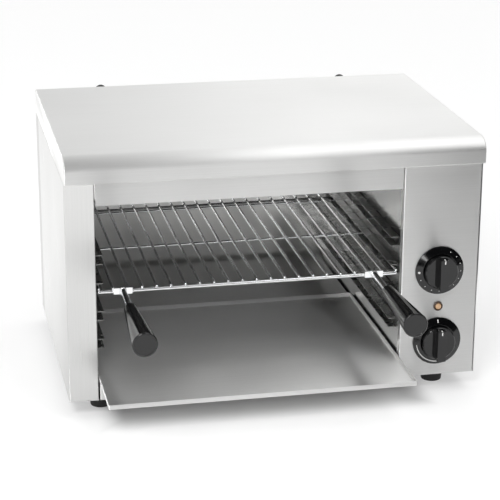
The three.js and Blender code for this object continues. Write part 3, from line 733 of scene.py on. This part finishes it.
first = wire("rack_rod", ROD_RADIUS, ROD_LENGTH, (ROD_X, ROD_START, RACK_Z), "BACK")
rods = [first]
for count in range(1, SPACES + 1):
    rods.append(copy_to(first, "rack_rod", PITCH * count, 0, 0))
width = PITCH * SPACES + 2 * ROD_RADIUS
bars = []
for radius, y in BAR_PLACES:
    place = (ROD_X - ROD_RADIUS, y, RACK_Z + WELD - ROD_RADIUS - radius)
    bars.append(wire("rack_bar", radius, width, place, "RIGHT"))
dress(join(rods + bars, "wire_rack"), chrome, "chrome_wire", "rack", "rack_grid", smooth=40)

# %% [markdown]
# Each handle has a small plate that is welded across two rods, and a round stem on it.

# %% Handle stems
PLATE_HALF_WIDTH, PLATE_FRONT, PLATE_BACK = 13.5, 9.2, 11.7
PLATE_ABOVE, PLATE_BELOW = 2, 7.7  # the middle of the rods
STEM_RADIUS, STEM_LENGTH, STEM_START = 4.6, 118.4, 11.4
BEAD_RADIUS, BEAD_THICKNESS = 4.7, 1.0
STEM_Z = RACK_Z + (PLATE_ABOVE - PLATE_BELOW) / 2
HANDLE_INSET = 34  # from the outermost rod
HANDLES = {"left": ROD_X + HANDLE_INSET, "right": ROD_X + SPACES * PITCH - HANDLE_INSET}
for side, x in HANDLES.items():
    plate_low = (x - PLATE_HALF_WIDTH, PLATE_FRONT, RACK_Z - PLATE_BELOW)
    plate_high = (x + PLATE_HALF_WIDTH, PLATE_BACK, RACK_Z + PLATE_ABOVE)
    plate = add_box("plate", plate_low, plate_high)
    edit(plate)
    bpy.ops.mesh.select_all(action="SELECT")
    round_edges(0.5, 3)
    bpy.ops.object.mode_set(mode="OBJECT")
    stem = wire("stem", STEM_RADIUS, STEM_LENGTH, (x, STEM_START, STEM_Z), "FRONT", 40)
    # A weld bead runs round the stem where it meets the plate.
    deselect()
    bpy.ops.mesh.primitive_torus_add(
        location=at(x, PLATE_FRONT, STEM_Z),
        rotation=TURNS["FRONT"],
        major_segments=40,
        minor_segments=12,
        major_radius=BEAD_RADIUS * MM,
        minor_radius=BEAD_THICKNESS * MM,
    )
    bead = bpy.context.object
    apply_place()
    handle = join([stem, plate, bead], f"handle_stem_{side}_rod")
    dress(handle, chrome, "chrome_wire", "rack", f"handle_stem_{side}", smooth=40)

# %% [markdown]
# The grips are phenolic cones with a flat end. The flat end is a shallow disc inside a thin rim,
# which the mould leaves round it, and the rim is what catches the light.

# %% Handle grips
GRIP_START, GRIP_LENGTH = -62, 136
NECK_RADIUS, END_RADIUS = 9, 17.2
BORE_RADIUS, BORE_DEPTH = 4.9, 45.3
DISC_INSET, DISC_DEPTH = 2.6, 0.4
GRIP_EDGE = 1.8
start = at(0, GRIP_START, 0).y
end = at(0, GRIP_START - GRIP_LENGTH, 0).y
for side, x in HANDLES.items():
    name, place = f"handle_grip_{side}_cone", (x, GRIP_START, STEM_Z)
    grip = add_round(name, NECK_RADIUS, GRIP_LENGTH, place, "FRONT", 72, end_radius=END_RADIUS)
    edit(grip)
    pick("FACE", lambda face: face.normal.y < -0.9)
    bpy.ops.mesh.inset(thickness=DISC_INSET * MM)
    bpy.ops.mesh.inset(thickness=DISC_DEPTH * MM, depth=-DISC_DEPTH * MM)
    pick("FACE", lambda face: face.normal.y > 0.9)
    # The neck is open for the stem, as deep as the stem goes in.
    bpy.ops.mesh.inset(thickness=(NECK_RADIUS - BORE_RADIUS) * MM)
    bpy.ops.mesh.extrude_region_move(TRANSFORM_OT_translate={"value": (0, -BORE_DEPTH * MM, 0)})

    def is_end_rim(edge):
        m = middle(edge)
        axis = at(x, 0, STEM_Z)
        radius = math.hypot(m.x - axis.x, m.z - axis.z)
        at_end = abs(m.y - end) < CLOSE and radius > (END_RADIUS - 0.7) * MM
        at_neck = abs(m.y - start) < CLOSE and radius > (NECK_RADIUS - 1) * MM
        return at_end or at_neck

    pick("EDGE", is_end_rim)
    round_edges(GRIP_EDGE, 5)
    bpy.ops.object.mode_set(mode="OBJECT")
    dress(grip, phenolic, "black_plastic", "rack", f"handle_grip_{side}")

# %% [markdown]
# Dials, knobs, feet, screws, bumpers and caps are all round, and each comes from a round tool or
# mould. One helper turns them: a ring is extruded and widened or narrowed along a profile, as on a
# lathe.

# %% Turned pieces


def add_turned(name, profile, place, facing="FRONT", vertices=64):
    """A solid of revolution. The profile is (radius, height) pairs, from the base outwards."""
    way = Vector(WAYS[facing])
    start = at(*place)
    radius, height = profile[0]
    deselect()
    bpy.ops.mesh.primitive_circle_add(
        vertices=vertices,
        radius=radius * MM,
        location=start + way * height * MM,
        rotation=TURNS[facing],
    )
    piece = bpy.context.object
    piece.name = name
    apply_place()
    edit(piece)
    bpy.ops.mesh.select_all(action="SELECT")
    for next_radius, next_height in profile[1:]:
        step = way * (next_height - height) * MM
        share = next_radius / radius
        bpy.ops.mesh.extrude_region_move(TRANSFORM_OT_translate={"value": step})
        bpy.ops.transform.resize(
            value=[1 if along else share for along in way], center_override=start
        )
        radius, height = next_radius, next_height
    bpy.ops.mesh.select_all(action="SELECT")
    bpy.ops.mesh.remove_doubles(threshold=CLOSE)
    bpy.ops.mesh.fill_holes(sides=0)
    bpy.ops.mesh.normals_make_consistent(inside=False)
    bpy.ops.object.mode_set(mode="OBJECT")
    return piece


# %% [markdown]
# A dial is a phenolic skirt: a thin rim, a cone up to a narrow ring, and a sunk seat over which
# the knob turns. The shadow in that seat is the black ring round the knob. The marks on the cone
# are white ink, printed with a soft pad. Each is drawn flat and then laid on the cone. The grill
# control has a row of dots for its levels and a larger one for off. The timer has a tick at the
# top, and an arc that grows thinner on its way down.

# %% Dials
CONTROL_X = 541
HEIGHTS = {"regulator": 163, "timer": 53.4}
SEAT_GAP = 0.3  # between a dial and the fascia
DIAL_RADIUS, RING_OUTSIDE, RING_INSIDE, SHAFT_HOLE = 36.3, 26.5, 25.5, 6
RIM_HEIGHT, RING_HEIGHT, SEAT_HEIGHT = 1.5, 5, 3.2
SLOPE = (RING_HEIGHT - RIM_HEIGHT) / (DIAL_RADIUS - RING_OUTSIDE)  # of the cone
PRINT_RADIUS = 31.4
INK = 0.2  # thickness of the blocks that become marks; half of it stands out of the cone
OFF_DOT, OFF_ANGLE = 3.4, 268  # width, and clock angle in degrees
DOT, DOTS, FIRST_DOT, DOT_STEP = 1.4, 11, 28.6, 21.7
TICK_WIDTH, TICK_LENGTH = 1.5, 4.4
ARC_LENGTH, ARC_WIDTH, ARC_ANGLE, ARC_THIN_SHARE = 46, 2.1, 221, 0.45
LONGEST_PLAIN = 10  # a longer mark is cut into short pieces first


def add_mark(width, height, angle, z, thin_end=1.0, round_mark=False):
    """A flat mark, wrapped on a dial's cone at a clock angle. Its width runs along the arc."""
    deselect()
    if round_mark:
        bpy.ops.mesh.primitive_cylinder_add(vertices=20, radius=width / 2, depth=INK)
    else:
        bpy.ops.mesh.primitive_cube_add(size=1)
        bpy.context.object.dimensions = (width, height, INK)
        apply_place()
    mark = bpy.context.object
    if width > LONGEST_PLAIN:
        edit(mark)
        pick("EDGE", lambda edge: edge.calc_length() > LONGEST_PLAIN)
        bpy.ops.mesh.subdivide(number_cuts=24)
        bpy.ops.object.mode_set(mode="OBJECT")
    for vertex in mark.data.vertices:
        along, out, proud = vertex.co
        out *= 1 + (thin_end - 1) * (along / width + 0.5)
        around = math.radians(angle) + along / PRINT_RADIUS
        radius = PRINT_RADIUS + out
        depth = SEAT_GAP + RIM_HEIGHT + (DIAL_RADIUS - radius) * SLOPE + proud
        x, up_by = radius * math.sin(around), radius * math.cos(around)
        vertex.co = at(CONTROL_X + x, -depth, z + up_by)
    mark.data.materials.append(white_print)
    return mark


z = HEIGHTS["regulator"]
marks = {"regulator": [add_mark(OFF_DOT, OFF_DOT, OFF_ANGLE, z, round_mark=True)]}
z = HEIGHTS["timer"]
marks["timer"] = [
    add_mark(TICK_WIDTH, TICK_LENGTH, 0, z),
    add_mark(ARC_LENGTH, ARC_WIDTH, ARC_ANGLE, z, thin_end=ARC_THIN_SHARE),
]
for count in range(DOTS):
    angle = FIRST_DOT + DOT_STEP * count
    marks["regulator"].append(add_mark(DOT, DOT, angle, HEIGHTS["regulator"], round_mark=True))

skirt_profile = [
    (SHAFT_HOLE, 0),
    (DIAL_RADIUS, 0),
    (DIAL_RADIUS, RIM_HEIGHT),
    (RING_OUTSIDE, RING_HEIGHT),
    (RING_INSIDE, RING_HEIGHT),
    (RING_INSIDE, SEAT_HEIGHT),
    (SHAFT_HOLE, SEAT_HEIGHT),
    (SHAFT_HOLE, 0),
]
for name, z in HEIGHTS.items():
    place = (CONTROL_X, -SEAT_GAP, z)
    skirt = add_turned(f"{name}_dial_skirt", skirt_profile, place, vertices=96)
    break_edges(skirt, 0.35, 3, sharper_than=0.3)
    skirt.data.materials.append(phenolic)
    whole = join([skirt, *marks[name]], f"{name}_dial_skirt")
    dress(whole, None, "black_plastic", "cabinet", f"{name}_dial")

# %% [markdown]
# A knob is a thick disc with a finger bar across it, whose ends follow the disc. The bar starts as
# a round block that is cut off on both sides, and is joined to the disc. The edges are rounded
# last, as in the mould. A white line points at the marks. It runs over the bar's end, so it is a
# thin strip on the front of the bar and another on its end.

# %% Knobs
BAR_WIDTH, BAR_RADIUS, BAR_HEIGHT = 12.7, 23.7, 22
KNOB_Y = -5.6  # the back of the disc, just clear of the dial's ring
LINE_WIDTH = 1.6
LINE_START, LINE_END = 17.6, 22.7  # on the front of the bar, from the knob's middle
LINE_OVER = (16.9, 21.4)  # on the end of the bar, from the back of the disc
PROUD = 0.12  # how far the line stands out
for name, z in HEIGHTS.items():
    place = (CONTROL_X, KNOB_Y, z)
    disc_profile = [(3.3, 7), (3.3, 0), (24.7, 0), (24.7, 7.6), (23.3, 9)]
    knob = add_turned(f"{name}_knob_moulding", disc_profile, place, vertices=96)
    bar = add_turned("bar", [(BAR_RADIUS, 4), (BAR_RADIUS, BAR_HEIGHT)], place, vertices=96)
    edit(bar)
    for side in (-1, 1):
        bpy.ops.mesh.select_all(action="SELECT")
        bpy.ops.mesh.bisect(
            plane_co=at(CONTROL_X + side * BAR_WIDTH / 2, 0, 0),
            plane_no=(side, 0, 0),
            use_fill=True,
            clear_outer=True,
        )
    bpy.ops.object.mode_set(mode="OBJECT")
    modify(knob, "BOOLEAN", operation="UNION", object=bar, solver="EXACT")
    bpy.data.objects.remove(bar)
    break_edges(knob, 1.1, 4, sharper_than=0.5)
    knob.data.materials.append(phenolic)
    x0, x1 = CONTROL_X - LINE_WIDTH / 2, CONTROL_X + LINE_WIDTH / 2
    front, end = KNOB_Y - BAR_HEIGHT, z + BAR_RADIUS
    line = add_box("line", (x0, front - PROUD, z + LINE_START), (x1, front + 0.1, z + LINE_END))
    low, high = [KNOB_Y - height for height in LINE_OVER]
    over = add_box("over", (x0, high, end - 0.5), (x1, low, end + PROUD))
    for part in (line, over):
        part.data.materials.append(white_print)
    whole = join([knob, line, over], f"{name}_knob_moulding")
    dress(whole, None, "black_plastic", f"{name}_control", f"{name}_knob")

# %% [markdown]
# The pilot lamp is a press-fit lens in a moulded ring. The ring slopes in towards the lens, and
# picks up its colour. The lens is a low dome, turned from a short profile.

# %% Pilot lamp
LAMP = (CONTROL_X, 0, 107.4)  # about midway between the dials
ring_profile = [(5, -26), (5, 0.3), (7, 0.3), (7, 1.6), (6.5, 2.3), (5.6, 2.3), (4.7, 0.9)]
ring = add_turned("pilot_lamp_ring", ring_profile, LAMP, vertices=64)
break_edges(ring, 0.2, 2, sharper_than=0.3)
dress(ring, lamp_ring, "black_plastic", "cabinet", "pilot_lamp_body")
lens_profile = [(4.4, 1.2), (4.4, 2.4), (4.1, 2.8), (3.4, 3.1)]
lens_profile += [(2.4, 3.35), (1.2, 3.47), (0.4, 3.5)]
lens = add_turned("pilot_lamp_lens", lens_profile, LAMP, vertices=48)
dress(lens, amber, "amber_lens", "cabinet", "pilot_lens", smooth=60)

# %% [markdown]
# Four rubber feet stand under the base pan, a little narrower at the floor. Each has a deep recess
# for its screw. One foot is made and three are copied.

# %% Feet
FOOT_X, FOOT_Y = 50, 47  # of the front left foot
FEET_ACROSS, FEET_DEEP = 500, 306  # from foot to foot
foot_profile = [(2.3, 9), (7, 9), (7, 0), (13.8, 0), (14.8, 0.5), (15.3, 1.8), (17, 25.7)]
foot_profile += [(2.3, 25.7), (2.3, 9)]
foot = add_turned("foot_front_left_rubber", foot_profile, (FOOT_X, FOOT_Y, -FOOT_HEIGHT), "UP")
break_edges(foot, 0.5, 3, sharper_than=0.9)
CORNERS = {
    "front_right": (FEET_ACROSS, 0),
    "rear_left": (0, FEET_DEEP),
    "rear_right": (FEET_ACROSS, FEET_DEEP),
}
feet = {"front_left": foot}
for corner, (x, y) in CORNERS.items():
    feet[corner] = copy_to(foot, f"foot_{corner}_rubber", x, y, 0)
for corner, piece in feet.items():
    dress(piece, rubber, "black_rubber", "cabinet", f"foot_{corner}")

# %% [markdown]
# The screws are pan heads with a cross recess. The head is turned with its shank, and a cross of
# two thin bars is cut out of it.

# %% Screws
HEAD_HEIGHT = 2.4
CROSS_BAR = (4.4, 0.9, 2.4)  # length, width and height of each bar of the cross
BACK = 400.3  # where pieces sit on the cabinet's back
FOOT_SCREW, BACK_SCREW = 23.5, 8  # lengths of the shanks
RECESS_TOP = -17.3  # the floor of a foot's recess, where its screw's head sits


def add_screw(name, length, place, facing):
    """A pan-head screw whose head's underside sits on a place and which faces one way."""
    profile = [(2, -length), (2, 0), (4.5, 0), (4.5, 1.1)]
    profile += [(4.2, 1.8), (3.3, 2.3), (2, HEAD_HEIGHT)]
    screw = add_turned(name, profile, place, facing, vertices=32)
    way = Vector(WAYS[facing])
    top = at(*place) + way * HEAD_HEIGHT * MM
    for turn in (0, math.pi / 2):
        deselect()
        bpy.ops.mesh.primitive_cube_add(size=1, location=top)
        bit = bpy.context.object
        bit.dimensions = Vector(CROSS_BAR) * MM
        bit.rotation_euler = (
            Matrix.Rotation(turn, 3, way) @ way.to_track_quat("Z", "Y").to_matrix()
        ).to_euler()
        apply_place()
        modify(screw, "BOOLEAN", operation="DIFFERENCE", object=bit, solver="EXACT")
        bpy.data.objects.remove(bit)
    return screw


place = (FOOT_X, FOOT_Y, RECESS_TOP)
screw = add_screw("foot_screw_front_left_pan_head", FOOT_SCREW, place, "DOWN")
screws = {"foot_screw_front_left": screw}
for corner, (x, y) in CORNERS.items():
    node = f"foot_screw_{corner}"
    screws[node] = copy_to(screw, f"{node}_pan_head", x, y, 0)
screw = add_screw("back_screw_left_low_pan_head", BACK_SCREW, (8, BACK, 30), "BACK")
screws["back_screw_left_low"] = screw
SCREWS_ACROSS, SCREWS_UP = 584, 263.7  # from screw to screw
BACK_CORNERS = {
    "left_high": (0, SCREWS_UP),
    "right_low": (SCREWS_ACROSS, 0),
    "right_high": (SCREWS_ACROSS, SCREWS_UP),
}
for corner, (x, z) in BACK_CORNERS.items():
    node = f"back_screw_{corner}"
    screws[node] = copy_to(screw, f"{node}_pan_head", x, 0, z)
for node, piece in screws.items():
    dress(piece, chrome, "chrome_wire", "cabinet", node)

# %% [markdown]
# Two rubber bumpers on the back of the cover keep the grill off the wall.

# %% Rear bumpers
BUMPER_X, BUMPER_Z = 105, 349  # of the left one
BUMPERS_ACROSS = 390
bumper_profile = [(9.5, 0), (9.5, 17.7), (9.1, 18.9), (8.3, 19.5), (7.0, 19.7)]
place = (BUMPER_X, BACK, BUMPER_Z)
bumper = add_turned("rear_bumper_left_rubber", bumper_profile, place, "BACK", 48)
break_edges(bumper, 0.4, 2, sharper_than=0.9)
other = copy_to(bumper, "rear_bumper_right_rubber", BUMPERS_ACROSS, 0, 0)
for side, piece in (("left", bumper), ("right", other)):
    dress(piece, rubber, "black_rubber", "cabinet", f"rear_bumper_{side}")

# %% [markdown]
# The power cord leaves through a moulded gland: a flange against the back panel, a tapered nose
# with grooves that let it bend, and a tail that grips the hole from inside.

# %% Cable gland
GLAND = (560, DEPTH, 42)
gland_profile = [(4.5, -11.2), (8, -11.2), (8, 0.3), (12, 0.3), (12, 2.6), (11.3, 3.3), (9, 3.3)]
for groove in range(3):
    height = 4.4 + groove * 2.6
    outer = 8.4 - groove * 0.25
    inner = outer - 0.9
    gland_profile += [(outer, height - 0.7), (inner, height - 0.2)]
    gland_profile += [(inner, height + 0.6), (outer, height + 1.1)]
gland_profile += [(7.4, 12.3), (4.5, 12.3), (4.5, -11.2)]
gland = add_turned("cable_gland_moulding", gland_profile, GLAND, "BACK", 56)
dress(gland, rubber, "black_rubber", "cabinet", "cable_gland")

# %% [markdown]
# The heating elements are quartz tubes, closed at both ends by ceramic caps that sit in the holes
# of the liners. The tube is hollow. The first is made and the others are copied.

# %% Heating tubes
TUBE_LEFT, TUBE_RIGHT, TUBE_Z = 24.5, 501.9, 313
TUBE_PITCH = 75.8  # also from the face to the first tube
GLASS_START = 28  # inside the cap
GLASS_END = TUBE_RIGHT - TUBE_LEFT - GLASS_START
GLASS_RADIUS, BORE = 5.5, 4.2
tube_profile = [(BORE, GLASS_START), (GLASS_RADIUS, GLASS_START), (GLASS_RADIUS, GLASS_END)]
tube_profile += [(BORE, GLASS_END), (BORE, GLASS_START)]
cap_profile = [(7, 0), (7, 30), (5.9, 30), (5.9, 22), (4.0, 22)]
place = (TUBE_LEFT, TUBE_PITCH, TUBE_Z)
glass = add_turned("glass", tube_profile, place, "RIGHT", 32)
glass.data.materials.append(quartz)
left_cap = add_turned("cap", cap_profile, place, "RIGHT", 32)
break_edges(left_cap, 0.5, 2, sharper_than=0.9)
left_cap.data.materials.append(ceramic)
right_cap = copy_to(left_cap, "cap", 0, 0, 0)
edit(right_cap)
bpy.ops.mesh.select_all(action="SELECT")
centre = at((TUBE_LEFT + TUBE_RIGHT) / 2, 0, 0)
bpy.ops.transform.mirror(constraint_axis=(True, False, False), center_override=centre)
bpy.ops.mesh.normals_make_consistent(inside=False)
bpy.ops.object.mode_set(mode="OBJECT")
tube = join([glass, left_cap, right_cap], "heating_tube_1_quartz")
tubes = [tube]
for count in (1, 2, 3):
    tubes.append(copy_to(tube, f"heating_tube_{count + 1}_quartz", 0, TUBE_PITCH * count, 0))
for count, piece in enumerate(tubes, start=1):
    dress(piece, None, "quartz_glass", "cabinet", f"heating_tube_{count}")

# %% [markdown]
# Behind the fascia and above the roof the frame's own pieces are kept: the blanket of ceramic
# fibre, the switch bodies and their shafts, the terminal block and the loom. Nobody sees them
# without opening the cabinet, so they only get their surfaces.

# %% Inner pieces of the frame
inner = {
    "insulation_blanket": fibre,
    "regulator_shaft": chrome,
    "timer_shaft": chrome,
    "regulator_body": cream_plastic,
    "timer_body": cream_plastic,
    "terminal_block": cream_plastic,
    "wire_loom": sleeving,
}
for node, material in inner.items():
    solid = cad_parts[node]
    solid.data.materials.clear()
    solid.data.materials.append(material)
